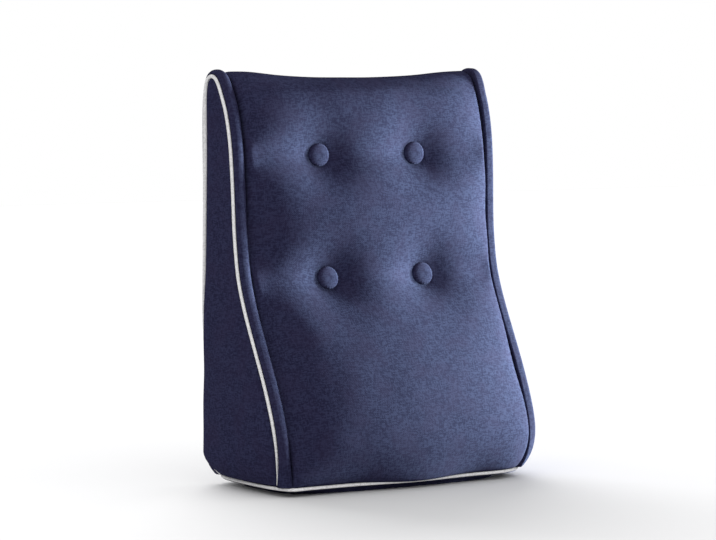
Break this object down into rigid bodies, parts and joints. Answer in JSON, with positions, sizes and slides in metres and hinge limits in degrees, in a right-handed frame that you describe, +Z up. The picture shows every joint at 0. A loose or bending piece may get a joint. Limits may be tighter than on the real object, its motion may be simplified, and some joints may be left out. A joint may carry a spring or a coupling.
{
  "type": "headboard cushion",
  "caption": "Upholstered backrest wedge that stands on its base, with a button-tufted front panel, rolled side borders and piped seams.",
  "frame": {"origin": "middle of the underside, at the height of the surface that it rests on", "axes": "+Z up, -Y towards the tufted front, +X to the right as seen from the front"},
  "size_m": [0.4905, 0.2398, 0.6039],
  "materials": {
    "cover_cloth": "matt woven cloth with fine light and dark threads",
    "piping_cloth": "matt off-white woven piping"
  },
  "bodies": {
    "root": {"cushion_body": "cover_cloth", "border_left": "cover_cloth", "border_right": "cover_cloth", "side_panel_left": "cover_cloth", "side_panel_right": "cover_cloth", "base_panel": "cover_cloth", "button_upper_left": "cover_cloth", "button_upper_right": "cover_cloth", "button_lower_left": "cover_cloth", "button_lower_right": "cover_cloth", "piping_left": "piping_cloth", "piping_right": "piping_cloth", "piping_base": "piping_cloth"}
  },
  "joints": []
}
